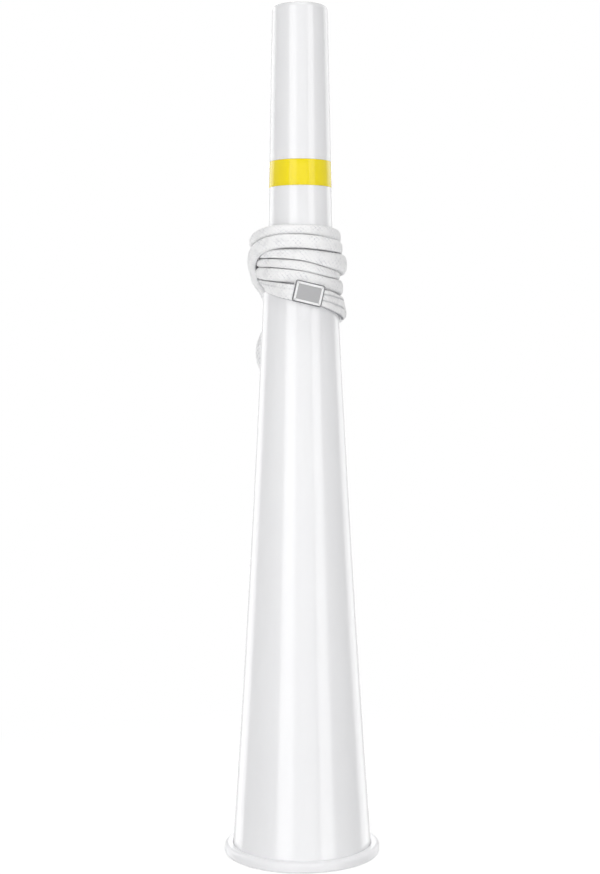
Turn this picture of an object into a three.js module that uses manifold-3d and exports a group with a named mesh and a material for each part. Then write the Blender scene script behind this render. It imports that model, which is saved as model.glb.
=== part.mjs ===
// A plastic stadium horn that stands on its bell, with a soft rope wound round its neck.
// Millimetres, +Z up, origin at the middle of the face that it rests on, front towards -Y.
// A conical bell with a snap-on rim, a mouth tube that slides down into the bell's neck,
// a colour band in the tube's groove, a cup mouthpiece in the tube's end, and a rope with a clasp.

import * as THREE from 'three';
import Module from 'manifold-3d';
import { mergeVertices } from 'three/addons/utils/BufferGeometryUtils.js';

// Driving dimensions

const horn = {
  height: 650,
  facets: 48
};

const fits = {
  seat: 0.3,
  socket: 0.3,
  mouthpiece: 0.3,
  cordOnHorn: 0.8,
  cordTurns: 0.6,
  cordJoint: 0.3,
  claspSide: 0.3
};

const bell = {
  neckTop: 434,
  neckDiameter: 57.3,
  wall: 1.6,
  straightShare: 0.808,
  neckLipRadius: 1.6,
  neckLipFromDegrees: 30,
  neckLipSteps: 3,
  footLipRadius: 0.5,
  sideSteps: 12
};

const rim = {
  outerDiameter: 120.2,
  standOut: 6.6,
  height: 7.6,
  edgeRadius: 2.6,
  floor: 2.2,
  ledgeOverhang: 0.4,
  insideChamfer: 0.5,
  edgeSteps: 5
};

const socket = {
  depth: 46,
  runOut: 4,
  leadIn: 0.8
};

const mouthTube = {
  topDiameter: 42.7,
  endDiameter: 52.7,
  wall: 1.6,
  lipRadius: 3.4,
  lipSteps: 6,
  innerEdgeRadius: 0.6,
  endChamfer: 0.6
};

const band = {
  bottom: 512.8,
  height: 19.2,
  thickness: 0.7
};

const mouthpiece = {
  flangeDiameter: 33.6,
  flangeHeight: 9,
  stemDiameter: 27,
  length: 40,
  topSetback: 0.6,
  lipRadius: 1.4,
  cupDiameter: 27,
  cupDepth: 20,
  throatDiameter: 8.6,
  throatLength: 5,
  backboreDiameter: 16,
  seatWall: 3.2,
  facets: 36,
  cupSteps: 7,
  lipSteps: 4
};

const cord = {
  freeDiameter: 9,
  layerStep: 6.4,
  climbShareBehind: 0.5,
  stepsPerLoop: 24,
  sides: 6,
  straightEnd: 9
};

const downturn = {
  fall: 38,
  startAzimuthDegrees: -142,
  topAzimuthDegrees: -20,
  curvePower: 2.2,
  roundingDegrees: 25
};

// The turns in the order that the rope takes. Each has the height of its middle, its half width and
// its thickness at these places, in degrees from the front: left side, half left, front, half right, right.
const turnPlaces = [-90, -45, 0, 45, 90];
const turns = [
  {
    name: 'outer',
    heights: [470.1, 470.1, 470, 468.1, 466.3],
    halves: [5, 5.3, 5.45, 5.4, 4.4],
    thicknesses: [7.8, 7.4, 6.6, 6.6, 6.2]
  },
  {
    name: 'top',
    heights: [469.8, 477.9, 479, 477.6, 475.4],
    halves: [3.8, 3.9, 3.6, 4.1, 4],
    thicknesses: [7, 7, 7.2, 6.4, 5.9]
  },
  {
    name: 'third',
    heights: [461.7, 461.1, 460, 456.4, 453.8],
    halves: [3.3, 3.5, 4.55, 6.2, 6.9],
    thicknesses: [8.6, 8.2, 7, 7, 7]
  },
  {
    name: 'fourth',
    heights: [455.5, 454.1, 451.6, 446.9, 445.2],
    halves: [3, 3.35, 3.75, 3.5, 3],
    thicknesses: [8.6, 8.2, 7.2, 6, 4.6]
  },
  {
    name: 'fifth',
    heights: [448, 445.7, 443.1, 438.7, 436.4],
    halves: [4.3, 5.1, 4.8, 4.8, 6],
    thicknesses: [8.8, 8.4, 7, 6.8, 6.8]
  },
  {
    name: 'last',
    heights: [440.9, 435.4, 431.6, 425.4, 420.8],
    halves: [2.6, 5.2, 6.6, 7.6, 7.7],
    thicknesses: [7.6, 6, 5, 5, 5.2]
  }
];

// How far the rope stands off the horn, in layers of rope, at places counted in turns from the front.
const standOffShares = [
  [-0.4, 0.7], [-0.37, 0.9], [-0.33, 1.38], [-0.29, 1.24], [-0.25, 1.34], [-0.12, 1.12], [0, 0.78],
  [0.16, 0.5], [0.25, 0.05], [0.35, 0.55], [0.5, 1.08], [0.62, 1.2], [0.75, 1.15], [0.87, 0.5], [1, 0],
  [2, 0], [2.25, 0.5], [2.5, 0], [4.4, 0], [4.5, 0.22], [4.6, 0], [5.5, 0]
];

const lastTurn = {
  startTurns: 4.5,
  endTurns: 5.33,
  thicknessInClasp: 4.6,
  halfInClasp: 5.4,
  roundFromTurns: 5.21,
  endFall: 7
};

const hangingLoop = {
  sides: 10,
  stepDiameters: 1,
  route: [
    [19.5, 31.5, 412.5], [13.5, 36.3, 407.5], [9.6, 38.4, 401], [7.6, 38.7, 394],
    [7.4, 38.6, 387.3], [4.8, 38.3, 377.5], [-2.3, 38, 370.4], [-12.1, 37.9, 367.8],
    [-21.8, 37.5, 370.4], [-28.6, 35.5, 377.3], [-30.9, 33, 386], [-30.4, 33.3, 392.5],
    [-27.8, 34.5, 399.5], [-24.4, 35.6, 406.5], [-21.3, 36.3, 413.5], [-19.6, 35.8, 420]
  ]
};

const tag = {
  width: 21.8,
  height: 16,
  cornerRadius: 1.5,
  azimuthDegrees: 9.4,
  turnDegrees: -13,
  centreHeight: 430.6,
  backThickness: 1,
  backStandOff: 0.95,
  frontThickness: 1.5,
  tabThickness: 0.9,
  tabLength: 8,
  pocketDepth: 0.8,
  pocketMargin: 1.6,
  pocketRadius: 0.8,
  panelThickness: 0.5,
  panelGap: 0.3,
  panelSeat: 0.3,
  flatDegrees: 19,
  easeDegrees: 26,
  cornerSteps: 4
};

const finish = {
  gloss: 0.25,
  panel: 0.5,
  rope: 0.85
};

const colours = {
  whitePlastic: 0xf2f2f3,
  yellowPlastic: 0xffeb00,
  whiteRope: 0xf1f1f2,
  tagFrame: 0xf7f7f7,
  tagPanel: 0xb3b3b4
};

const gapCheck = {
  finerSteps: 3,
  finerSides: 4,
  reachDiameters: 2
};

// Small helpers

const quarterTurn = 90;
const halfTurn = 180;
const fullTurn = 360;
const weldDistance = 1e-4;
const toRadians = THREE.MathUtils.degToRad;
const mix = THREE.MathUtils.lerp;
const clampShare = (value) => THREE.MathUtils.clamp(value, 0, 1);
const smoothShare = (value) => {
  const t = clampShare(value);
  return t * t * (3 - 2 * t);
};

function hermite(from, to, slopeFrom, slopeTo, t) {
  const t2 = t * t;
  const t3 = t2 * t;
  return (2 * t3 - 3 * t2 + 1) * from + (t3 - 2 * t2 + t) * slopeFrom
    + (3 * t2 - 2 * t3) * to + (t3 - t2) * slopeTo;
}

// A smooth value between the rows of a table of [place, value].
function fromTable(table, place) {
  const last = table.length - 1;
  const next = Math.min(last, Math.max(1, table.findIndex((row) => row[0] > place)));
  const i = place >= table[last][0] ? last : next;
  const [x0, y0] = table[i - 1];
  const [x1, y1] = table[i];
  const before = table[Math.max(0, i - 2)];
  const after = table[Math.min(last, i + 1)];
  const span = x1 - x0;
  const slopeFrom = i > 1 ? (y1 - before[1]) / (x1 - before[0]) * span : y1 - y0;
  const slopeTo = i < last ? (after[1] - y0) / (after[0] - x0) * span : y1 - y0;
  return hermite(y0, y1, slopeFrom, slopeTo, clampShare((place - x0) / span));
}

// Points on a quarter or other arc in a profile, from one angle to another.
function arc(centreR, centreZ, radius, fromDegrees, toDegrees, steps) {
  const points = [];
  for (let i = 0; i <= steps; i += 1) {
    const angle = toRadians(mix(fromDegrees, toDegrees, i / steps));
    points.push([centreR + radius * Math.cos(angle), centreZ + radius * Math.sin(angle)]);
  }
  return points;
}

// A closed profile of [radius, height] turned about Z, wound so that its faces point out.
function turned(profile, facets) {
  const closed = [...profile, profile[0]];
  const geometry = new THREE.LatheGeometry(closed.map(([r, z]) => new THREE.Vector2(r, z)), facets);
  geometry.rotateX(Math.PI / 2);
  geometry.deleteAttribute('uv');
  geometry.deleteAttribute('normal');
  const merged = mergeVertices(geometry, weldDistance);
  merged.computeVertexNormals();
  return merged;
}

// The horn's own surfaces

const bellBottom = rim.floor + fits.seat;
const footDiameter = rim.outerDiameter - 2 * rim.standOut;
const socketBottom = bell.neckTop - socket.depth - socket.runOut;
const tubeEnd = bell.neckTop - socket.depth;

function bellRadius(z) {
  const s = (bell.neckTop - z) / (bell.neckTop - rim.height);
  const flare = bell.straightShare * s + (1 - bell.straightShare) * s * s;
  return mix(bell.neckDiameter, footDiameter, flare) / 2;
}

function tubeRadius(z) {
  return mix(mouthTube.topDiameter, mouthTube.endDiameter, (horn.height - z) / (horn.height - tubeEnd)) / 2;
}

function bellSide(fromZ, toZ, inset, steps) {
  const points = [];
  for (let i = 0; i <= steps; i += 1) {
    const z = mix(fromZ, toZ, i / steps);
    points.push([bellRadius(z) - inset, z]);
  }
  return points;
}

// Bell: outside up to the rounded neck, down the tapered socket, then the open inside

function bellGeometry() {
  const lip = bell.neckLipRadius;
  const foot = bell.footLipRadius;
  const neckZ = bell.neckTop;
  const boreAt = (z) => tubeRadius(z) + fits.socket;
  const neckLipR = bellRadius(neckZ) - lip;
  const neckLip = arc(neckLipR, neckZ - lip, lip, bell.neckLipFromDegrees, quarterTurn, bell.neckLipSteps);
  const profile = [
    [bellRadius(bellBottom) - foot, bellBottom],
    ...bellSide(bellBottom + foot, neckZ - lip, 0, bell.sideSteps),
    ...neckLip,
    [boreAt(neckZ) + socket.leadIn, neckZ],
    [boreAt(neckZ - socket.leadIn), neckZ - socket.leadIn],
    [boreAt(socketBottom), socketBottom],
    ...bellSide(socketBottom - bell.wall, bellBottom, bell.wall, bell.sideSteps)
  ];
  return turned(profile, horn.facets);
}

// Rim: a ring with round outer edges, a rabbet for the bell's foot and a ledge under it

function rimGeometry() {
  const outer = rim.outerDiameter / 2;
  const edge = rim.edgeRadius;
  const inner = bellRadius(bellBottom) - bell.wall - rim.ledgeOverhang;
  const boreAt = (z) => bellRadius(z) + fits.seat;
  const profile = [
    [inner + rim.insideChamfer, 0],
    ...arc(outer - edge, edge, edge, -quarterTurn, 0, rim.edgeSteps),
    ...arc(outer - edge, rim.height - edge, edge, 0, quarterTurn, rim.edgeSteps),
    [boreAt(rim.height), rim.height],
    [boreAt(rim.floor), rim.floor],
    [inner, rim.floor],
    [inner, rim.insideChamfer]
  ];
  return turned(profile, horn.facets);
}

// Mouth tube: rounded lip, groove for the band, long taper into the neck, counterbore for the mouthpiece

const mouthTop = horn.height - mouthpiece.topSetback;
const flangeSeat = mouthTop - mouthpiece.flangeHeight - fits.mouthpiece;
const stemEnd = mouthTop - mouthpiece.length;
const stemBore = mouthpiece.stemDiameter / 2 + fits.mouthpiece;
const flangeBore = mouthpiece.flangeDiameter / 2 + fits.mouthpiece;

function tubeGeometry() {
  const grooveDepth = band.thickness + fits.seat;
  const grooveLow = band.bottom - fits.seat;
  const grooveHigh = band.bottom + band.height + fits.seat;
  const end = mouthTube.endChamfer;
  const lip = mouthTube.lipRadius;
  const inside = mouthTube.innerEdgeRadius;
  const profile = [
    [tubeRadius(tubeEnd) - end, tubeEnd],
    [tubeRadius(tubeEnd + end), tubeEnd + end],
    [tubeRadius(grooveLow), grooveLow],
    [tubeRadius(grooveLow) - grooveDepth, grooveLow],
    [tubeRadius(grooveHigh) - grooveDepth, grooveHigh],
    [tubeRadius(grooveHigh), grooveHigh],
    ...arc(tubeRadius(horn.height) - lip, horn.height - lip, lip, 0, quarterTurn, mouthTube.lipSteps),
    [flangeBore + inside, horn.height],
    [flangeBore, horn.height - inside],
    [flangeBore, flangeSeat],
    [stemBore, flangeSeat],
    [stemBore, stemEnd],
    [tubeRadius(stemEnd) - mouthTube.wall, stemEnd - mouthpiece.seatWall],
    [tubeRadius(tubeEnd) - mouthTube.wall, tubeEnd]
  ];
  return turned(profile, horn.facets);
}

function bandGeometry() {
  const low = band.bottom;
  const high = band.bottom + band.height;
  const profile = [
    [tubeRadius(low) - band.thickness, low],
    [tubeRadius(low), low],
    [tubeRadius(high), high],
    [tubeRadius(high) - band.thickness, high]
  ];
  return turned(profile, horn.facets);
}

// Mouthpiece: a flange that sits in the tube's end, a round cup, a narrow throat and a flared backbore

function mouthpieceGeometry() {
  const flange = mouthpiece.flangeDiameter / 2;
  const stem = mouthpiece.stemDiameter / 2;
  const lip = mouthpiece.lipRadius;
  const cup = mouthpiece.cupDiameter / 2;
  const throat = mouthpiece.throatDiameter / 2;
  const cupFloor = mouthTop - mouthpiece.cupDepth;
  const throatEnd = cupFloor - mouthpiece.throatLength;
  const cupWall = [];
  for (let i = 0; i <= mouthpiece.cupSteps; i += 1) {
    const angle = i / mouthpiece.cupSteps * Math.PI / 2;
    const r = throat + (cup - throat) * Math.cos(angle);
    cupWall.push([r, mouthTop - lip - (mouthpiece.cupDepth - lip) * Math.sin(angle)]);
  }
  const profile = [
    [mouthpiece.backboreDiameter / 2, stemEnd],
    [stem, stemEnd],
    [stem, mouthTop - mouthpiece.flangeHeight],
    [flange, mouthTop - mouthpiece.flangeHeight],
    ...arc(flange - lip, mouthTop - lip, lip, 0, quarterTurn, mouthpiece.lipSteps),
    ...arc(cup + lip, mouthTop - lip, lip, quarterTurn, halfTurn, mouthpiece.lipSteps).slice(0, -1),
    ...cupWall,
    [throat, throatEnd]
  ];
  return turned(profile, mouthpiece.facets);
}

// Rope: where its middle runs, and its half width and half thickness, at a place counted in turns

const tagPlane = bellRadius(tag.centreHeight) + tag.backStandOff;
const startTurns = downturn.startAzimuthDegrees / fullTurn;
const plyMiddle = tagPlane + tag.backThickness + fits.seat + lastTurn.thicknessInClasp / 2;

// What a turn has at a place over the front, in degrees.
function frontOf(turn, degrees) {
  const at = (values) => fromTable(turnPlaces.map((place, i) => [place, values[i]]), degrees);
  return {
    z: at(turn.heights),
    half: at(turn.halves) - fits.cordTurns / 2,
    thickness: at(turn.thicknesses) - fits.cordTurns
  };
}

// How far the rope climbs in the half turn behind the horn, going by its slope where it goes round the
// side. Side 0 is a turn's left end and side 1 its right one.
function climbOf(turn, side) {
  const i = side * (turnPlaces.length - 2);
  const slope = (turn.heights[i + 1] - turn.heights[i]) / (turnPlaces[i + 1] - turnPlaces[i]);
  return slope * halfTurn * cord.climbShareBehind;
}

// The downturn on the left, from the hanging loop up to the outer turn.
function downturnAt(turn, degrees) {
  const top = frontOf(turn, downturn.topAzimuthDegrees);
  const span = downturn.startAzimuthDegrees - downturn.topAzimuthDegrees;
  const s = (degrees - downturn.topAzimuthDegrees) / span;
  return {
    z: top.z - downturn.fall * s ** downturn.curvePower,
    half: mix(top.half, cord.freeDiameter / 2, s),
    thickness: mix(top.thickness, frontOf(turn, -quarterTurn).thickness, smoothShare(2 * s))
  };
}

function turnAt(place) {
  const k = Math.round(place);
  const degrees = (place - k) * fullTurn;
  const here = turns[Math.min(turns.length - 1, Math.max(0, k))];
  if (k === 0 && degrees < downturn.topAzimuthDegrees) {
    return downturnAt(here, degrees);
  }
  if (Math.abs(degrees) <= quarterTurn) {
    return frontOf(here, degrees);
  }
  const from = degrees > 0 ? here : turns[k - 1];
  const to = degrees > 0 ? turns[k + 1] : here;
  const t = ((degrees + fullTurn) % fullTurn - quarterTurn) / halfTurn;
  const right = frontOf(from, quarterTurn);
  if (!to) {
    return { ...right, z: right.z + climbOf(from, 1) * t - lastTurn.endFall * (2 * t) ** 2 };
  }
  const left = frontOf(to, -quarterTurn);
  return {
    z: hermite(right.z, left.z, climbOf(from, 1), climbOf(to, 0), t),
    half: mix(right.half, left.half, smoothShare(t)),
    thickness: mix(right.thickness, left.thickness, smoothShare(t))
  };
}

// The horn's radius under the rope: the bell's below its neck, the tube's above it.
function radiusUnder(z, half) {
  const lip = bell.neckLipRadius;
  const overNeck = smoothShare((bell.neckTop + lip - (z - half)) / (2 * lip));
  return mix(tubeRadius(z - half), bellRadius(z - half), overNeck);
}

function ropeAt(place) {
  const { z, half, thickness } = turnAt(place);
  const degrees = (place - Math.round(place)) * fullTurn;
  const endSpan = lastTurn.endTurns - lastTurn.roundFromTurns;
  const endRounding = smoothShare((place - lastTurn.roundFromTurns) / endSpan);
  const startRounding = 1 - smoothShare((place - startTurns) * fullTurn / downturn.roundingDegrees);
  const roundness = Math.max(endRounding, startRounding);
  const fromTag = Math.abs(degrees - tag.azimuthDegrees);
  const nearTag = 1 - smoothShare((fromTag - tag.flatDegrees) / tag.easeDegrees);
  const atTag = place > lastTurn.startTurns ? nearTag : 0;
  const flat = mix(thickness, lastTurn.thicknessInClasp, atTag) / 2;
  const thick = mix(flat, cord.freeDiameter / 2, roundness);
  const wide = mix(mix(half, lastTurn.halfInClasp, atTag), cord.freeDiameter / 2, roundness);
  const rise = cord.layerStep * Math.max(0, fromTable(standOffShares, place));
  const hugging = radiusUnder(z, wide) + fits.cordOnHorn + thick + rise;
  const straight = plyMiddle / Math.cos(toRadians(Math.min(fromTag, tag.flatDegrees)));
  const r = mix(hugging, straight, atTag);
  const azimuth = toRadians(degrees);
  return {
    centre: new THREE.Vector3(r * Math.sin(azimuth), -r * Math.cos(azimuth), z),
    wide,
    thick
  };
}

// Rings of a tube: each has its middle, its direction, the way out from the horn and its two half sizes.
function ropeRings(places, stepsPerLoop) {
  const rings = [ropeAt(places[0])];
  for (let k = 1; k < places.length; k += 1) {
    const steps = Math.ceil((places[k] - places[k - 1]) * stepsPerLoop);
    for (let i = 1; i <= steps; i += 1) {
      rings.push(ropeAt(mix(places[k - 1], places[k], i / steps)));
    }
  }
  return rings;
}

function withFrames(rings) {
  rings.forEach((ring, i) => {
    const before = rings[Math.max(0, i - 1)].centre;
    const after = rings[Math.min(rings.length - 1, i + 1)].centre;
    ring.along = after.clone().sub(before).normalize();
    ring.out = new THREE.Vector3(ring.centre.x, ring.centre.y, 0).normalize();
    ring.out.addScaledVector(ring.along, -ring.out.dot(ring.along)).normalize();
    ring.across = new THREE.Vector3().crossVectors(ring.out, ring.along);
  });
  return rings;
}

function ringPoints(ring, sides) {
  const points = [];
  for (let j = 0; j < sides; j += 1) {
    const angle = (j + 0.5) / sides * Math.PI * 2;
    points.push(ring.centre.clone()
      .addScaledVector(ring.across, ring.wide * Math.cos(angle))
      .addScaledVector(ring.out, ring.thick * Math.sin(angle)));
  }
  return points;
}

function tubeOf(rings, sides) {
  const positions = [];
  rings.forEach((ring) => ringPoints(ring, sides).forEach((p) => positions.push(p.x, p.y, p.z)));
  const indices = [];
  for (let i = 0; i < rings.length - 1; i += 1) {
    for (let j = 0; j < sides; j += 1) {
      const a = i * sides + j;
      const b = i * sides + (j + 1) % sides;
      indices.push(a, b, a + sides, b, b + sides, a + sides);
    }
  }
  const lastRing = (rings.length - 1) * sides;
  for (let j = 1; j < sides - 1; j += 1) {
    indices.push(0, j + 1, j);
    indices.push(lastRing, lastRing + j, lastRing + j + 1);
  }
  const geometry = new THREE.BufferGeometry();
  geometry.setAttribute('position', new THREE.Float32BufferAttribute(positions, 3));
  geometry.setIndex(indices);
  geometry.computeVertexNormals();
  return geometry;
}

// The least gap of a wound tube to its own other turns, measured on points of its surface.
function leastGap(fromTurns, toTurns) {
  const stepsPerLoop = cord.stepsPerLoop * gapCheck.finerSteps;
  const rings = withFrames(ropeRings([fromTurns, toTurns], stepsPerLoop));
  const surfaces = rings.map((ring) => ringPoints(ring, cord.sides * gapCheck.finerSides));
  const reach = cord.freeDiameter * gapCheck.reachDiameters;
  let least = Infinity;
  for (let i = 0; i < rings.length; i += 1) {
    for (let j = i + stepsPerLoop / 2; j < rings.length; j += 1) {
      if (rings[i].centre.distanceTo(rings[j].centre) < reach) {
        for (const p of surfaces[i]) {
          least = Math.min(least, ...surfaces[j].map((q) => p.distanceTo(q)));
        }
      }
    }
  }
  return least;
}

// The rope's pieces: the wound turns, the last turn through the clasp, and the loop that hangs behind

const claspFrom = turns.length - 1 + (tag.azimuthDegrees - tag.flatDegrees) / fullTurn;
const claspTo = turns.length - 1 + (tag.azimuthDegrees + tag.flatDegrees) / fullTurn;
const windingRings = ropeRings([startTurns, lastTurn.startTurns], cord.stepsPerLoop);
const lastPlaces = [lastTurn.startTurns, claspFrom, claspTo, lastTurn.endTurns];
const lastRings = ropeRings(lastPlaces, cord.stepsPerLoop);

// Where two pieces of rope meet, both run straight and leave a small gap.
function meetStraight(before, after) {
  const from = before[before.length - 2].centre;
  const to = after[1].centre;
  const middle = from.clone().lerp(to, 0.5);
  const along = to.clone().sub(from).normalize();
  before[before.length - 1].centre.copy(middle).addScaledVector(along, -fits.cordJoint / 2);
  after[0].centre.copy(middle).addScaledVector(along, fits.cordJoint / 2);
}

function loopRings() {
  const leaves = lastRings[lastRings.length - 1].centre;
  const leaving = leaves.clone().sub(lastRings[lastRings.length - 2].centre).normalize();
  const enters = windingRings[0].centre;
  const entering = enters.clone().sub(windingRings[1].centre).normalize();
  const beyond = (point, way, distance) => point.clone().addScaledVector(way, distance);
  const points = [
    beyond(leaves, leaving, fits.cordJoint),
    beyond(leaves, leaving, fits.cordJoint + cord.straightEnd / 2),
    beyond(leaves, leaving, fits.cordJoint + cord.straightEnd),
    ...hangingLoop.route.map(([x, y, z]) => new THREE.Vector3(x, y, z)),
    beyond(enters, entering, fits.cordJoint + cord.straightEnd),
    beyond(enters, entering, fits.cordJoint + cord.straightEnd / 2),
    beyond(enters, entering, fits.cordJoint)
  ];
  const curve = new THREE.CatmullRomCurve3(points, false, 'centripetal');
  const steps = Math.round(curve.getLength() / (cord.freeDiameter * hangingLoop.stepDiameters));
  return curve.getSpacedPoints(steps).map((centre) => (
    { centre, wide: cord.freeDiameter / 2, thick: cord.freeDiameter / 2 }
  ));
}

// Clasp: a front plate with a pocket and two folded tabs, a panel in the pocket, and a back plate

const wasm = await Module();
wasm.setup();

function toSolid(geometry) {
  const bare = geometry.clone();
  bare.deleteAttribute('normal');
  bare.deleteAttribute('uv');
  const merged = mergeVertices(bare, weldDistance);
  return new wasm.Manifold(new wasm.Mesh({
    numProp: 3,
    vertProperties: new Float32Array(merged.attributes.position.array),
    triVerts: new Uint32Array(merged.index.array)
  }));
}

function toGeometry(solid) {
  const mesh = solid.getMesh();
  const geometry = new THREE.BufferGeometry();
  geometry.setAttribute('position', new THREE.Float32BufferAttribute(mesh.vertProperties, 3));
  geometry.setIndex(new THREE.Uint32BufferAttribute(mesh.triVerts, 1));
  geometry.computeVertexNormals();
  return geometry;
}

function roundedPlate(width, height, radius, thickness) {
  const x = width / 2;
  const y = height / 2;
  const shape = new THREE.Shape();
  shape.absarc(x - radius, y - radius, radius, 0, Math.PI / 2);
  shape.absarc(radius - x, y - radius, radius, Math.PI / 2, Math.PI);
  shape.absarc(radius - x, radius - y, radius, Math.PI, Math.PI * 3 / 2);
  shape.absarc(x - radius, radius - y, radius, Math.PI * 3 / 2, Math.PI * 2);
  return new THREE.ExtrudeGeometry(shape, {
    depth: thickness,
    bevelEnabled: false,
    curveSegments: tag.cornerSteps
  });
}

const channelDepth = lastTurn.thicknessInClasp + 2 * fits.seat;
const channelHeight = 2 * lastTurn.halfInClasp + 2 * fits.claspSide;
const pocketWidth = tag.width - 2 * tag.pocketMargin;
const pocketHeight = tag.height - 2 * tag.pocketMargin;

function frameGeometry() {
  const plate = toSolid(roundedPlate(tag.width, tag.height, tag.cornerRadius, tag.frontThickness));
  const tabDepth = channelDepth + tag.backThickness;
  const pocket = roundedPlate(pocketWidth, pocketHeight, tag.pocketRadius, tag.frontThickness);
  pocket.translate(0, 0, tag.frontThickness - tag.pocketDepth);
  let solid = plate;
  for (const side of [-1, 1]) {
    const tab = new THREE.BoxGeometry(tag.tabLength, tag.tabThickness, tabDepth + tag.frontThickness / 2);
    tab.translate(0, side * (channelHeight + tag.tabThickness) / 2, tag.frontThickness / 4 - tabDepth / 2);
    solid = solid.add(toSolid(tab));
  }
  return toGeometry(solid.subtract(toSolid(pocket)));
}

function panelGeometry() {
  const inset = 2 * tag.panelGap;
  return roundedPlate(pocketWidth - inset, pocketHeight - inset, tag.pocketRadius, tag.panelThickness);
}

// The assembly

const group = new THREE.Group();

function add(name, geometry, colour, roughness, parent = group) {
  const material = new THREE.MeshStandardMaterial({ color: colour, roughness, metalness: 0 });
  const mesh = new THREE.Mesh(geometry, material);
  mesh.name = name;
  parent.add(mesh);
  return mesh;
}

add('bell', bellGeometry(), colours.whitePlastic, finish.gloss);
add('bell_rim', rimGeometry(), colours.whitePlastic, finish.gloss);
add('mouth_tube', tubeGeometry(), colours.whitePlastic, finish.gloss);
add('colour_band', bandGeometry(), colours.yellowPlastic, finish.gloss);
add('mouthpiece', mouthpieceGeometry(), colours.whitePlastic, finish.gloss);

meetStraight(windingRings, lastRings);
add('cord_winding', tubeOf(withFrames(windingRings), cord.sides), colours.whiteRope, finish.rope);
add('cord_last_turn', tubeOf(withFrames(lastRings), cord.sides), colours.whiteRope, finish.rope);
const loopTube = tubeOf(withFrames(loopRings()), hangingLoop.sides);
add('cord_hanging_loop', loopTube, colours.whiteRope, finish.rope);

// The clasp stands square to the horn's side, and leans as the rope does.
const clasp = new THREE.Group();
const azimuth = toRadians(tag.azimuthDegrees);
clasp.position.set(tagPlane * Math.sin(azimuth), -tagPlane * Math.cos(azimuth), tag.centreHeight);
clasp.rotation.set(Math.PI / 2, 0, 0);
const turnedToSide = new THREE.Group();
turnedToSide.rotation.y = azimuth;
const leaning = new THREE.Group();
leaning.rotation.z = toRadians(tag.turnDegrees);
clasp.add(turnedToSide);
turnedToSide.add(leaning);
group.add(clasp);

const backHeight = channelHeight - 2 * fits.claspSide;
const backPlate = roundedPlate(tag.width, backHeight, tag.cornerRadius, tag.backThickness);
const frontPlane = tag.backThickness + channelDepth;
add('tag_back', backPlate, colours.tagFrame, finish.gloss, leaning);
add('tag_frame', frameGeometry(), colours.tagFrame, finish.gloss, leaning).position.z = frontPlane;
const panel = add('tag_panel', panelGeometry(), colours.tagPanel, finish.panel, leaning);
panel.position.z = frontPlane + tag.frontThickness - tag.pocketDepth + tag.panelSeat;

const whole = leastGap(startTurns, lastTurn.endTurns);
console.log(`least gap of the rope to its own turns: ${whole.toFixed(2)} mm`);

export default group;
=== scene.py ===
"""A white plastic stadium horn with a soft braided rope wound round its neck.

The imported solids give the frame. Every piece is made again here with its fine surface, at the solids'
sizes, apart from small corrections to the rope and its clasp. Sizes are in millimetres, and MM turns
them to the scene's metres.
"""

import logging
import math
from collections.abc import Callable
from dataclasses import dataclass
from enum import Enum
from functools import partial
from itertools import accumulate

import bmesh
import bpy
import numpy as np
from bmesh.types import BMesh, BMFace, BMVert
from bpy.types import Material, Node, NodeSocket, NodeTree, Object
from mathutils import Matrix, Vector


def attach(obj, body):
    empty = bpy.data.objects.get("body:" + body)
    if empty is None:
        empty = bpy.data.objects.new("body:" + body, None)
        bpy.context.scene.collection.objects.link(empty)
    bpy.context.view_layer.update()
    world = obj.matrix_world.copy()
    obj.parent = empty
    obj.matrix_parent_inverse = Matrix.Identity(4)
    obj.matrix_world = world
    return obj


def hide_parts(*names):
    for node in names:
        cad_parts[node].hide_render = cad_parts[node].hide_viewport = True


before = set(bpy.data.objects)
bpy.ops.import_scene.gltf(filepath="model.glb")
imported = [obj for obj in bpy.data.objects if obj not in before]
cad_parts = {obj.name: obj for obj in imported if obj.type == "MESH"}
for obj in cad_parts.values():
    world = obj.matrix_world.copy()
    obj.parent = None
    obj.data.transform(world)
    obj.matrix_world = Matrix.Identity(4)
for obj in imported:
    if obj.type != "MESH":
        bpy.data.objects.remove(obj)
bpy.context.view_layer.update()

MM = 0.001
QUARTER_TURN, HALF_TURN, FULL_TURN = 90.0, 180.0, 360.0
SHARP_EDGE_DEGREES = 38.0
# The azimuths at which the sizes of the rope's turns are given.
TURN_PLACES = (-90.0, -45.0, 0.0, 45.0, 90.0)
# Vertices that are nearer than this, in metres, are one.
WELD = 1e-7
# Steps between two points of a smooth line, and the spans of knots that its three rounds of blending use.
CURVE_STEPS = 60
CURVE_SPANS = (((0, 1), (1, 2), (2, 3)), ((0, 2), (1, 3)), ((1, 2),))
WHITE = "FFFFFF"
# The numbers of a colour mix node's inputs.
SHARE, FROM, TO = 0, 6, 7

log = logging.getLogger("vuvuzela")

Table = tuple[tuple[float, float], ...]
Triple = tuple[float, float, float]
Edge = tuple[float, int]
Corner = tuple[float, ...]
Values = dict[str | int, object]
Links = dict[str | int, NodeSocket | Node]


class Body(Enum):
    """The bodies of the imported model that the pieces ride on."""

    BELL = "bell"
    MOUTH_TUBE = "mouth_tube"
    MOUTHPIECE = "mouthpiece"


class Slot(Enum):
    """The record's material slots."""

    SHELL = "white_shell"
    MOUTHPIECE = "white_mouthpiece"
    BAND = "yellow_band"
    ROPE = "white_rope"
    CLASP = "white_clasp"
    PANEL = "grey_panel"


def mix(start: float, end: float, share: float) -> float:
    """The value at a share of the way from start to end."""
    return start + (end - start) * share


def smooth_share(value: float) -> float:
    """An eased share from 0 to 1 of a value from 0 to 1, clamped outside it."""
    share = min(1.0, max(0.0, value))
    return share * share * (3 - 2 * share)


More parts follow.
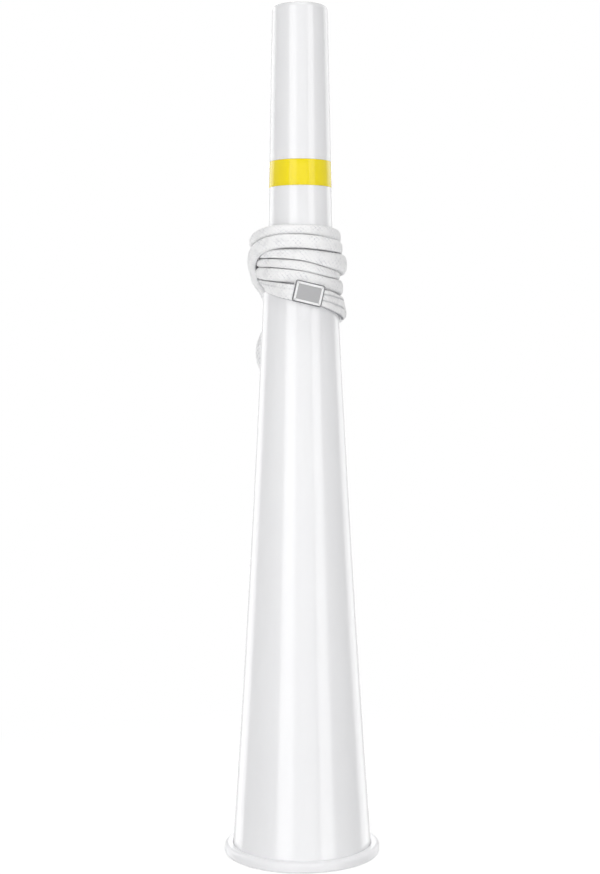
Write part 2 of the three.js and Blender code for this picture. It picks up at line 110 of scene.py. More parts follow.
def hermite(start: float, end: float, slope_start: float, slope_end: float, share: float) -> float:
    """A cubic from start to end with the given slopes.

    Args:
        start: The value at share 0.
        end: The value at share 1.
        slope_start: The slope at share 0.
        slope_end: The slope at share 1.
        share: The place, from 0 to 1.

    Returns:
        The value at that place.
    """
    square, cube = share * share, share ** 3
    return (
        (2 * cube - 3 * square + 1) * start
        + (cube - 2 * square + share) * slope_start
        + (3 * square - 2 * cube) * end
        + (cube - square) * slope_end
    )


def from_table(table: Table, place: float) -> float:
    """A smooth value between the rows of a table.

    Args:
        table: Rows of place and value, by rising place.
        place: The place that is asked for.

    Returns:
        The value there, on a cubic through the rows.
    """
    last = len(table) - 1
    k = max(1, next((k for k, row in enumerate(table) if row[0] > place), last))
    (x0, y0), (x1, y1) = table[k - 1], table[k]
    before, beyond = table[max(0, k - 2)], table[min(last, k + 1)]
    span = x1 - x0
    slope_start = (y1 - before[1]) / (x1 - before[0]) * span if k > 1 else y1 - y0
    slope_end = (beyond[1] - y0) / (beyond[0] - x0) * span if k < last else y1 - y0
    share = min(1.0, max(0.0, (place - x0) / span))
    return hermite(y0, y1, slope_start, slope_end, share)


def on_circle(radius: float, degrees: float, z: float) -> Vector:
    """The place at a radius and a height, at an azimuth from the front."""
    azimuth = math.radians(degrees)
    return Vector((radius * math.sin(azimuth), -radius * math.cos(azimuth), z))


def linear_colour(hex_code: str) -> tuple[float, float, float, float]:
    """The linear colour of an sRGB hex code.

    Args:
        hex_code: Six digits, such as F4F4F5.

    Returns:
        The colour, with an alpha of 1.
    """
    channels = [int(hex_code[k:k + 2], 16) / 255 for k in (0, 2, 4)]
    linear = [c / 12.92 if c <= 0.04045 else ((c + 0.055) / 1.055) ** 2.4 for c in channels]
    return (*linear, 1.0)


def add_node(tree: NodeTree, kind: str, values: Values | None = None, links: Links | None = None,
             **settings: object) -> Node:
    """Adds a node to a tree.

    Args:
        tree: The node tree.
        kind: The node's type, without the ShaderNode that each of them starts with.
        values: Values to set on its inputs, by name or number. A text is an sRGB hex code.
        links: What to join to its inputs, by name or number. A node gives its first output in use.
        **settings: The node's own settings.

    Returns:
        The new node.
    """
    node = tree.nodes.new("ShaderNode" + kind)
    for name, value in settings.items():
        setattr(node, name, value)
    for name, value in (values or {}).items():
        node.inputs[name].default_value = linear_colour(value) if isinstance(value, str) else value
    for name, source in (links or {}).items():
        if isinstance(source, Node):
            source = next(output for output in source.outputs if output.enabled)
        tree.links.new(source, node.inputs[name])
    return node


def empty_material(name: str) -> tuple[Material, Callable[..., Node]]:
    """A new material with no nodes.

    Args:
        name: The material's name.

    Returns:
        The material, and add_node for its tree.
    """
    material = bpy.data.materials.new(name)
    material.use_nodes = True
    material.node_tree.nodes.clear()
    return material, partial(add_node, material.node_tree)


@dataclass(frozen=True)
class Pattern:
    """A noise pattern: the size of its patches and the height of its relief in mm, and its octaves."""

    size: float
    octaves: float = 2.0
    relief: float = 0.0

    @property
    def noise(self) -> Values:
        """The values of its noise node."""
        return {"Scale": 1 / (self.size * MM), "Detail": self.octaves}

    @property
    def bump(self) -> Values:
        """The values of its bump node."""
        return {"Distance": self.relief * MM}


@dataclass(frozen=True)
class SmoothPlastic:
    """Plastic as its mould, its film or a fine brush leaves it: glossy or satin, with long soft reflections.

    The waves are the slow unevenness that bends a lamp's reflection on a thin shell, the grain is the
    fine satin that breaks the gloss up a little, and the tint is a slight change of colour.
    """

    name: str
    colour: str
    shade: str
    roughness: float = 0.2
    roughness_spread: float = 0.05
    ior: float = 1.49
    specular: float = 0.5
    waves: Pattern = Pattern(46.0, 1.0, 0.05)
    grain: Pattern = Pattern(1.6, 3.0, 0.004)
    tint: Pattern = Pattern(60.0)
    stretch: float = 1.0

    def build(self, turn: Matrix = Matrix.Identity(3)) -> Material:
        """Builds the material's nodes.

        Args:
            turn: The turn from a piece's own axes to the horn's, so that a stretched grain follows it.

        Returns:
            The material.
        """
        material, add = empty_material(self.name)
        place = add("TexCoord").outputs["Object"]
        along = add("Mapping", {"Rotation": turn.inverted().to_euler()}, {"Vector": place})
        stretched = add("Mapping", {"Scale": (1 / self.stretch, 1.0, 1.0)}, {"Vector": along})
        patterns = (self.waves, self.grain, self.tint)
        waves, grain, tint = (add("TexNoise", p.noise, {"Vector": stretched}) for p in patterns)
        colour = add("Mix", {FROM: self.shade, TO: self.colour}, {SHARE: tint}, data_type="RGBA")
        low, high = self.roughness - self.roughness_spread, self.roughness + self.roughness_spread
        roughness = add("MapRange", {"To Min": low, "To Max": high}, {"Value": grain})
        wavy = add("Bump", self.waves.bump, {"Height": waves})
        rough = add("Bump", self.grain.bump, {"Height": grain, "Normal": wavy})
        shader = add("BsdfPrincipled", {"IOR": self.ior, "Specular IOR Level": self.specular},
                     {"Base Color": colour, "Roughness": roughness, "Normal": rough})
        add("OutputMaterial", links={"Surface": shader})
        return material


@dataclass(frozen=True)
class BraidedCotton:
    """Soft braided rope of bleached cotton and polyester yarn: matt, slightly fuzzy, with painted shade
    between strands.

    The patches are the dents and the faint grime of a rope that hands have pressed, and the blotches
    spread its painted valley shade here and there. The skin's attribute braid is a point's height on its
    strand, and crease is painted shade, which darkens it where turns and plies are pressed together,
    under the downturn and beside it.
    """

    name: str
    yarn: str
    valley: str
    # crease is the colour of painted shade where turns and plies press together, under the downturn and
    # beside it.
    crease: str
    patch: str
    patch_range: tuple[float, float] = (0.5, 0.7)
    patch_depth: float = 0.22
    valley_range: tuple[float, float] = (0.3, 0.75)
    roughness: float = 0.86
    sheen: float = 0.22
    sheen_roughness: float = 0.6
    yarns: Pattern = Pattern(0.75, 2.0, 0.11)
    fuzz: Pattern = Pattern(0.45, 4.0, 0.05)
    blotches: Pattern = Pattern(7.0)
    patches: Pattern = Pattern(6.0, 3.0)

    def build(self, length: float, around: float) -> Material:
        """Builds the material's nodes.

        Args:
            length: The rope's length in metres, which its UV map's first axis covers.
            around: The way round the rope in metres, which the second axis covers.

        Returns:
            The material.
        """
        material, add = empty_material(self.name)
        place = add("TexCoord").outputs
        braid, crease = (add("Attribute", attribute_name=name).outputs["Fac"] for name in ("braid", "crease"))
        on_rope = add("Mapping", {"Scale": (length, around, 1.0)}, {"Vector": place["UV"]})
        yarns = add("TexNoise", self.yarns.noise, {"Vector": on_rope})
        patterns = (self.fuzz, self.blotches, self.patches)
        fuzz, blotches, patches = (add("TexNoise", p.noise, {"Vector": place["Object"]}) for p in patterns)
        # Painted shade between strands: the lower a point lies on its strand, the nearer it is to the valley
        # colour, and the blotches spread that shade here and there.
        low, high = self.valley_range
        valley_end = add("MapRange", {"To Min": low, "To Max": high}, {"Value": blotches})
        raised = add("MapRange", links={"Value": braid, "From Max": valley_end},
                     interpolation_type="SMOOTHSTEP")
        low, high = self.patch_range
        dented = add("MapRange", {"From Min": low, "From Max": high, "To Max": self.patch_depth},
                     {"Value": patches})
        colour = add("Mix", {FROM: self.valley, TO: self.yarn}, {SHARE: raised}, data_type="RGBA")
        # The crease colour is painted shade, laid on where the skin's crease attribute asks for it.
        for share, shade in ((dented, self.patch), (crease, self.crease)):
            colour = add("Mix", {TO: shade}, {SHARE: share, FROM: colour}, data_type="RGBA")
        strands = add("Bump", self.yarns.bump, {"Height": yarns})
        fuzzy = add("Bump", self.fuzz.bump, {"Height": fuzz, "Normal": strands})
        sheen = {"Sheen Weight": self.sheen, "Sheen Roughness": self.sheen_roughness}
        shader = add("BsdfPrincipled", {"Roughness": self.roughness, **sheen},
                     {"Base Color": colour, "Normal": fuzzy})
        add("OutputMaterial", links={"Surface": shader})
        return material


NO_WAVES = Pattern(46.0, 1.0)
# Polypropylene from a polished mould: so glossy that the lamps show on it as long soft streaks.
WHITE_SHELL = SmoothPlastic("moulded_white_polypropylene", "F7F7F8", "F1F1F3", roughness=0.16, specular=0.85)
# The same plastic from duller moulds: satin, with broad highlights.
WHITE_RIM = SmoothPlastic("moulded_white_rim", "F7F7F8", "F1F1F3", roughness=0.3)
WHITE_MOUTHPIECE = SmoothPlastic("moulded_white_mouthpiece", "F4F4F4", "EEEEEF", roughness=0.26)
# Yellow plastic film, the shiniest surface: deep colour under crisp reflections.
YELLOW_BAND = SmoothPlastic("glossy_yellow_film", "FFEA00", "FFE600", roughness=0.04, roughness_spread=0.01,
                            specular=0.35, waves=Pattern(46.0, 1.0, 0.01))
# Hard moulded plastic: satin and too small to be wavy. The grey at its edge is painted shade on the frame's
# rounded rim.
CLASP_FACE = SmoothPlastic("moulded_white_clasp", "FAFAFA", "F6F6F7", roughness=0.28, waves=NO_WAVES)
CLASP_SHADE_EDGE = SmoothPlastic("clasp_edge_painted_shade", "77787B", "6C6D70", roughness=0.34, waves=NO_WAVES)
# A printed inlay that looks like brushed aluminium: satin, with a fine grain along its length.
CLASP_INLAY = SmoothPlastic("grey_satin_inlay", "B7B7B8", "B0B0B2", roughness=0.42, roughness_spread=0.0,
                            ior=1.5, waves=NO_WAVES, grain=Pattern(0.35, 2.0, 0.006), tint=Pattern(0.35),
                            stretch=14.0)
# The valley and crease colours are painted shade: between strands, and where the rope presses together or
# lies under and beside the downturn.
ROPE_BRAID = BraidedCotton("braided_white_cotton", "FFFFFF", "E2E2E6", "86868C", "C4C4C9")


def add_object(name: str, data: bpy.types.ID) -> Object:
    """A new object, linked to the scene.

    Args:
        name: The object's name.
        data: Its mesh, lamp or camera.

    Returns:
        The object, at the origin.
    """
    made = bpy.data.objects.new(name, data)
    bpy.context.scene.collection.objects.link(made)
    return made


def finish_mesh(bm: BMesh, name: str, place: Matrix | None = None) -> Object:
    """Turns a bmesh into a smooth object with its sharp edges kept, and links it to the scene.

    Args:
        bm: The bmesh, which is freed.
        name: The new object's name.
        place: Where the mesh goes, if it was made in axes of its own.

    Returns:
        The object, at the origin.
    """
    if place is not None:
        bmesh.ops.transform(bm, matrix=place, verts=bm.verts)
    limit = math.radians(SHARP_EDGE_DEGREES)
    for face in bm.faces:
        face.smooth = True
    for edge in bm.edges:
        edge.smooth = len(edge.link_faces) != 2 or edge.calc_face_angle() < limit
    mesh = bpy.data.meshes.new(name)
    bm.to_mesh(mesh)
    bm.free()
    return add_object(name, mesh)


def bevel(bm: BMesh, geom: list, reach: float, segments: int, affect: str = "EDGES") -> None:
    """Rounds edges or vertices of a bmesh, by a reach in mm."""
    bmesh.ops.bevel(bm, geom=geom, offset=reach * MM, offset_type="OFFSET", segments=segments, profile=0.5,
                    affect=affect, material=-1)


def add_box(bm: BMesh, size: Triple, middle: Triple) -> list[BMVert]:
    """Adds a box to a bmesh.

    Args:
        bm: The bmesh.
        size: The box's size in mm.
        middle: The box's middle in mm.

    Returns:
        The box's vertices.
    """
    verts = bmesh.ops.create_cube(bm, size=1.0)["verts"]
    bmesh.ops.scale(bm, verts=verts, vec=[v * MM for v in size])
    bmesh.ops.translate(bm, verts=verts, vec=[v * MM for v in middle])
    return verts


def turned(name: str, corners: list[Corner], steps: int = 192) -> Object:
    """Turns a closed outline about Z.

    Args:
        name: The new object's name.
        corners: Each corner's radius and height, and its rounding's reach and segments if it has one.
        steps: How many steps the full turn takes.

    Returns:
        The turned object.
    """
    bm = bmesh.new()
    verts = [bm.verts.new((corner[0] * MM, 0.0, corner[1] * MM)) for corner in corners]
    for first, second in zip(verts, verts[1:] + verts[:1]):
        bm.edges.new((first, second))
    for vert, (_, _, *edge) in zip(verts, corners):
        if edge:
            bevel(bm, [vert], *edge, "VERTICES")
    bmesh.ops.spin(bm, geom=[*bm.verts, *bm.edges], cent=(0, 0, 0), axis=(0, 0, 1), angle=math.tau,
                   steps=steps, use_merge=True)
    bmesh.ops.remove_doubles(bm, verts=bm.verts, dist=WELD)
    bmesh.ops.recalc_face_normals(bm, faces=bm.faces)
    return finish_mesh(bm, name)


def dress(piece: Object, materials: list[Material], body: Body, slot: Slot, *nodes: str) -> Object:
    """Gives a piece its materials, lets it ride on its body and stand for its solids.

    Args:
        piece: The finished piece.
        materials: Its materials, in the order of its faces' numbers.
        body: The body that it moves with.
        slot: The record's material slot, which is not used.
        *nodes: The solids that it stands for.

    Returns:
        The piece.
    """
    for material in materials:
        piece.data.materials.append(material)
    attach(piece, body.value)
    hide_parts(*nodes)
    log.info("%s rides on %s: %d faces", piece.name, body.value, len(piece.data.polygons))
    return piece


@dataclass(frozen=True)
class Horn:
    """The horn's turned shells: bell, rim, mouth tube, colour band and mouthpiece. Sizes in mm.

    An edge is the reach of a rounding and how many segments it has.
    """

    height: float = 650.0
    seat: float = 0.3
    wall: float = 1.6
    neck_top: float = 434.0
    neck_diameter: float = 57.3
    foot_diameter: float = 107.0
    straight_share: float = 0.808
    neck_lip: float = 1.6
    lip_segments: int = 6
    side_steps: int = 24
    rim_diameter: float = 120.2
    rim_height: float = 7.6
    rim_gap: float = 0.12
    rim_upper_edge: Edge = (2.9, 8)
    rim_lower_edge: Edge = (2.2, 8)
    rim_seam_edge: Edge = (0.35, 3)
    rim_foot_edge: Edge = (0.5, 3)
    rim_floor: float = 2.2
    rim_ledge: float = 0.4
    socket_depth: float = 46.0
    socket_run_out: float = 4.0
    top_diameter: float = 42.7
    end_diameter: float = 52.7
    top_edge: Edge = (3.4, 12)
    counterbore_edge: Edge = (0.6, 4)
    tube_end_edge: Edge = (0.6, 3)
    groove_edge: Edge = (0.15, 2)
    band_bottom: float = 512.8
    band_height: float = 19.2
    band_thickness: float = 0.7
    band_spread: float = 0.18
    band_proud: float = 0.04
    band_edge: Edge = (0.1, 2)
    cup_setback: float = 0.6
    flange_diameter: float = 33.6
    flange_height: float = 9.0
    stem_diameter: float = 27.0
    mouthpiece_length: float = 40.0
    cup_diameter: float = 27.0
    cup_depth: float = 20.0
    cup_lip: float = 1.4
    throat_diameter: float = 8.6
    throat_length: float = 5.0
    backbore_diameter: float = 16.0
    seat_wall: float = 3.2
    cup_steps: int = 14
    stem_edge: Edge = (0.8, 3)
    small_edge: Edge = (0.3, 2)
    bore_edge: Edge = (0.4, 2)
    mouthpiece_steps: int = 144

    @property
    def tube_end(self) -> float:
        """The height of the mouth tube's lower end, inside the neck."""
        return self.neck_top - self.socket_depth

    @property
    def bell_bottom(self) -> float:
        """The height of the bell's foot, in the rim's rabbet."""
        return self.rim_floor + self.seat

    def bell_radius(self, z: float) -> float:
        """The bell's outside radius.

        Args:
            z: The height.

        Returns:
            The radius there.
        """
        share = (self.neck_top - z) / (self.neck_top - self.rim_height)
        flare = self.straight_share * share + (1 - self.straight_share) * share * share
        return mix(self.neck_diameter, self.foot_diameter, flare) / 2

    def tube_radius(self, z: float) -> float:
        """The mouth tube's outside radius at a height."""
        share = (self.height - z) / (self.height - self.tube_end)
        return mix(self.top_diameter, self.end_diameter, share) / 2

    def surface(self, z: float) -> float:
        """The radius of the horn's outer surface, with the neck's rounded lip.

        Args:
            z: The height.

        Returns:
            The radius there.
        """
        if z >= self.neck_top:
            return self.tube_radius(z)
        into_lip = max(0.0, z - self.neck_top + self.neck_lip)
        return self.bell_radius(z) - self.neck_lip + math.sqrt(self.neck_lip ** 2 - into_lip ** 2)

    def under(self, z: float) -> float:
        """The radius that a rope with its middle at a height lies on, eased over the neck's step."""
        over_neck = smooth_share((self.neck_top + 2 * self.neck_lip - z) / (4 * self.neck_lip))
        return mix(self.tube_radius(z), self.bell_radius(z), over_neck)

    def side(self, start: float, end: float, inset: float) -> list[Corner]:
        """Corners along the bell's flared side between two heights, set in by a wall."""
        heights = [mix(start, end, k / self.side_steps) for k in range(self.side_steps + 1)]
        return [(self.bell_radius(z) - inset, z) for z in heights]

    def bell(self) -> Object:
        """The bell: a flared cone with a rounded neck and the tapered socket for the mouth tube.

        Returns:
            The bell, without a material.
        """
        bottom, top = self.bell_bottom, self.neck_top
        socket_bottom = self.tube_end - self.socket_run_out
        return turned("horn_bell", [
            *self.side(bottom, top - 2 * self.neck_lip, 0.0),
            (self.bell_radius(top), top, self.neck_lip, self.lip_segments),
            (self.tube_radius(top) + self.seat, top, *self.bore_edge),
            (self.tube_radius(socket_bottom) + self.seat, socket_bottom),
            *self.side(socket_bottom - self.wall, bottom, self.wall),
        ])

    def rim(self) -> Object:
        """The rim: a soft-edged ring snapped over the bell's foot, flat underneath.

        Returns:
            The rim, without a material.
        """
        inside = self.bell_radius(self.bell_bottom) - self.wall - self.rim_ledge
        outside = self.rim_diameter / 2
        return turned("horn_rim", [
            (inside, 0.0, *self.rim_foot_edge),
            (outside, 0.0, *self.rim_lower_edge),
            (outside, self.rim_height, *self.rim_upper_edge),
            (self.bell_radius(self.rim_height) + self.rim_gap, self.rim_height, *self.rim_seam_edge),
            (self.bell_radius(self.rim_floor) + self.rim_gap, self.rim_floor),
            (inside, self.rim_floor, *self.small_edge),
        ])

    def mouth_tube(self) -> Object:
        """The mouth tube: a long taper with a rounded lip, a groove for the band and a counterbore.

        Returns:
            The tube, without a material.
        """
        groove_low = self.band_bottom - self.seat
        groove_high = self.band_bottom + self.band_height + self.seat
        groove = self.band_thickness + self.seat
        mouth_top = self.height - self.cup_setback
        flange_seat = mouth_top - self.flange_height - self.seat
        stem_end = mouth_top - self.mouthpiece_length
        flange, stem = self.flange_diameter / 2 + self.seat, self.stem_diameter / 2 + self.seat
        radius = self.tube_radius
        return turned("horn_mouth_tube", [
            (radius(self.tube_end), self.tube_end, *self.tube_end_edge),
            (radius(groove_low), groove_low, *self.groove_edge),
            (radius(groove_low) - groove, groove_low),
            (radius(groove_high) - groove, groove_high),
            (radius(groove_high), groove_high, *self.groove_edge),
            (radius(self.height), self.height, *self.top_edge),
            (flange, self.height, *self.counterbore_edge),
            (flange, flange_seat),
            (stem, flange_seat),
            (stem, stem_end),
            (radius(stem_end) - self.wall, stem_end - self.seat_wall),
            (radius(self.tube_end) - self.wall, self.tube_end, *self.small_edge),
        ])

    def band(self) -> Object:
        """The colour band, a thin ring that fills the tube's groove.

        Returns:
            The band, without a material.
        """
        low = self.band_bottom - self.band_spread
        high = self.band_bottom + self.band_height + self.band_spread
        return turned("horn_colour_band", [
            (self.tube_radius(low) - self.band_thickness, low),
            (self.tube_radius(low) + self.band_proud, low, *self.band_edge),
            (self.tube_radius(high) + self.band_proud, high, *self.band_edge),
            (self.tube_radius(high) - self.band_thickness, high),
        ])

    def mouthpiece(self) -> Object:
        """The mouthpiece: a flange, a round cup, a narrow throat and a flared backbore.

        Returns:
            The mouthpiece, without a material.
        """
        top = self.height - self.cup_setback
        end = top - self.mouthpiece_length
        flange, stem, cup = self.flange_diameter / 2, self.stem_diameter / 2, self.cup_diameter / 2
        throat = self.throat_diameter / 2
        depth = self.cup_depth - self.cup_lip
        angles = [k / self.cup_steps * math.pi / 2 for k in range(1, self.cup_steps + 1)]
        bowl = [
            (throat + (cup - throat) * math.cos(angle), top - self.cup_lip - depth * math.sin(angle))
            for angle in angles
        ]
        return turned("horn_mouthpiece", [
            (self.backbore_diameter / 2, end, *self.bore_edge),
            (stem, end, *self.stem_edge),
            (stem, top - self.flange_height),
            (flange, top - self.flange_height, *self.small_edge),
            (flange, top, self.cup_lip, self.lip_segments),
            (cup, top, self.cup_lip, self.lip_segments),
            *bowl,
            (throat, top - self.cup_depth - self.throat_length),
        ], steps=self.mouthpiece_steps)

    def build(self) -> None:
        """Makes and dresses every shell."""
        shell, cup, yellow = WHITE_SHELL.build(), WHITE_MOUTHPIECE.build(), YELLOW_BAND.build()
        dress(self.bell(), [shell], Body.BELL, Slot.SHELL, "bell")
        dress(self.rim(), [WHITE_RIM.build()], Body.BELL, Slot.SHELL, "bell_rim")
        dress(self.mouth_tube(), [shell], Body.MOUTH_TUBE, Slot.SHELL, "mouth_tube")
        dress(self.band(), [yellow], Body.MOUTH_TUBE, Slot.BAND, "colour_band")
        dress(self.mouthpiece(), [cup], Body.MOUTHPIECE, Slot.MOUTHPIECE, "mouthpiece")


@dataclass(frozen=True)
class Clasp:
    """The rope's clasp: a white frame with folded tabs, a grey inlay and a back plate. Sizes in mm."""

    horn: Horn = Horn()
    width: float = 22.7
    height: float = 16.5
    corner: float = 1.6
    corner_segments: int = 8
    edge_segments: int = 4
    azimuth_degrees: float = 9.4
    turn_degrees: float = -13.0
    centre_height: float = 430.6
    back_thickness: float = 1.0
    back_stand_off: float = 0.95
    back_gap: float = 0.3
    back_rounding: float = 0.2
    front_thickness: float = 1.5
    tab_thickness: float = 0.8
    tab_length: float = 8.0
    tab_overlap: float = 0.05
    tab_edge: Edge = (0.2, 2)
    channel_height: float = 13.6
    channel_shift: float = -0.6
    channel_depth: float = 5.2
    pocket_depth: float = 0.8
    inlay_gap: float = 0.12
    inlay_lift: float = 0.1
    inlay_sink: float = 0.12
    inlay_corner: float = 0.4
    inlay_rounding: float = 0.12
    # The rounded rim that is painted grey as shade, and the white border inside it.
    outline: float = 0.9
    white_border: float = 1.6

    @property
    def place(self) -> Matrix:
        """The clasp's place on the horn: X along it, Y up it and Z out of its face."""
        reach = self.horn.bell_radius(self.centre_height) + self.back_stand_off
        return (
            Matrix.Translation(on_circle(reach * MM, self.azimuth_degrees, self.centre_height * MM))
            @ Matrix.Rotation(math.pi / 2, 4, "X")
            @ Matrix.Rotation(math.radians(self.azimuth_degrees), 4, "Y")
            @ Matrix.Rotation(math.radians(self.turn_degrees), 4, "Z")
        )

    def plate(self, width: float, height: float, low: float, high: float, corner: float,
              rounding: float) -> BMesh:
        """A rounded plate in the clasp's own axes.

        Args:
            width: Its size along X.
            height: Its size along Y.
            low: The Z of its back.
            high: The Z of its face.
            corner: The radius of its four corners.
            rounding: The rounding of the edge round its face.

        Returns:
            The bmesh, in metres.
        """
        bm = bmesh.new()
        add_box(bm, (width, height, high - low), (0, 0, (high + low) / 2))
        upright = [e for e in bm.edges if abs(e.verts[0].co.z - e.verts[1].co.z) > WELD]
        bevel(bm, upright, corner, self.corner_segments)
        bevel(bm, list(self.face_of(bm, high).edges), rounding, self.edge_segments)
        return bm

    @staticmethod
    def face_of(bm: BMesh, z: float) -> BMFace:
        """The largest face of a plate at a height, in mm, along the clasp's Z."""
        level = [f for f in bm.faces if all(abs(v.co.z - z * MM) < WELD for v in f.verts)]
        return max(level, key=lambda f: f.calc_area())

    def frame_piece(self) -> Object:
        """The front frame with its pocket and its two folded tabs.

        Returns:
            The frame, whose rounded rim has the second material, grey as painted shade.
        """
        low = self.back_thickness + self.channel_depth
        high = low + self.front_thickness
        bm = self.plate(self.width, self.height, low, high, self.corner, self.outline)
        face = self.face_of(bm, high)
        bmesh.ops.inset_region(bm, faces=[face], thickness=self.white_border * MM, use_even_offset=True)
        floor = bmesh.ops.extrude_discrete_faces(bm, faces=[face])["faces"]
        bmesh.ops.translate(bm, verts=floor[0].verts, vec=(0, 0, -self.pocket_depth * MM))
        # The faces of the rounded rim get the grey of painted shade.
        for f in bm.faces:
            middle = f.calc_center_median() / MM
            past_x = abs(middle.x) > self.width / 2 - self.outline
            past_y = abs(middle.y) > self.height / 2 - self.outline
            f.material_index = int(past_x or past_y)
        self.add_tabs(bm, low)
        return finish_mesh(bm, "clasp_frame", self.place)

    def add_tabs(self, bm: BMesh, low: float) -> None:
        """Adds the two tabs that fold back round the rope to the back plate.

        Args:
            bm: The frame's bmesh.
            low: The Z of the frame's back.
        """
        depth = self.channel_depth + self.back_thickness
        for side in (-1, 1):
            across = self.channel_shift + side * (self.channel_height + self.tab_thickness) / 2
            tab = add_box(bm, (self.tab_length, self.tab_thickness, depth),
                          (0, across, low - depth / 2 + self.tab_overlap))
            bevel(bm, list(dict.fromkeys(e for v in tab for e in v.link_edges)), *self.tab_edge)

    def back_piece(self) -> Object:
        """The plain back plate that lies on the bell.

        Returns:
            The plate, without a material.
        """
        height = self.channel_height - 2 * self.back_gap
        bm = self.plate(self.width, height, 0.0, self.back_thickness, self.corner, self.back_rounding)
        return finish_mesh(bm, "clasp_back", self.place)

    def inlay_piece(self) -> Object:
        """The bare grey inlay in the frame's pocket, just below the frame's face.

        Returns:
            The inlay, without a material.
        """
        face = self.back_thickness + self.channel_depth + self.front_thickness
        low, high = face - self.pocket_depth + self.inlay_lift, face - self.inlay_sink
        inset = 2 * (self.outline + self.white_border + self.inlay_gap)
        bm = self.plate(self.width - inset, self.height - inset, low, high, self.inlay_corner,
                        self.inlay_rounding)
        return finish_mesh(bm, "clasp_inlay", self.place)

    def build(self) -> list[Object]:
        """Makes and dresses the clasp's pieces.

        Returns:
            The pieces, which go with the rope.
        """
        # The edge material is painted shade on the frame's rim.
        face, edge = CLASP_FACE.build(), CLASP_SHADE_EDGE.build()
        inlay = CLASP_INLAY.build(self.place.to_3x3())
        return [
            dress(self.frame_piece(), [face, edge], Body.BELL, Slot.CLASP, "tag_frame"),
            dress(self.back_piece(), [face], Body.BELL, Slot.CLASP, "tag_back"),
            dress(self.inlay_piece(), [inlay], Body.BELL, Slot.PANEL, "tag_panel"),
        ]


@dataclass(frozen=True)
class Turn:
    """One turn of the rope over the front, at five places from the horn's left side to its right, in mm.

    The heights are those of its middle, the halves are half its height on the horn, and thick is how far
    it stands out from what it lies on. The power is that of its superellipse section at its right end.
    """

    heights: tuple[float, ...]
    halves: tuple[float, ...]
    thick: tuple[float, ...]
    right_power: float = 2.5

    def at(self, degrees: float) -> Triple:
        """Its height, half width and thickness at an azimuth within a quarter turn of the front."""
        rows = (self.heights, self.halves, self.thick)
        return tuple(from_table(tuple(zip(TURN_PLACES, row)), degrees) for row in rows)

    def slope(self, side: int) -> float:
        """How steeply the turn climbs at one of its ends.

        Args:
            side: 0 for its left end and 1 for its right.

        Returns:
            The climb there, carried on over half a turn.
        """
        k = side * (len(TURN_PLACES) - 2)
        climb = self.heights[k + 1] - self.heights[k]
        return climb / (TURN_PLACES[k + 1] - TURN_PLACES[k]) * HALF_TURN


@dataclass(frozen=True)
class PlyCrease:
    """A crease between two plies: its place across the rope and its depth, by turns along the rope."""

    places: Table
    depths: Table


@dataclass(frozen=True)
class Ring:
    """One ring of the rope, in mm.

    It has its middle, half width and half thickness, the place and depth of its ply creases, its
    section's superellipse power, how much painted shade darkens it where it touches its neighbours and
    under its lower edge, how clear its braid is at the least, and whether it passes under the downturn.
    """

    centre: Vector
    wide: float
    thick: float
    creases: Table = ()
    power: float = 2.0
    # Painted shade: where the ring touches its neighbours, and under its lower edge.
    touch_shade: float = 0.0
    under: float = 0.0
    clear: float = 0.9
    passes_under: bool = False


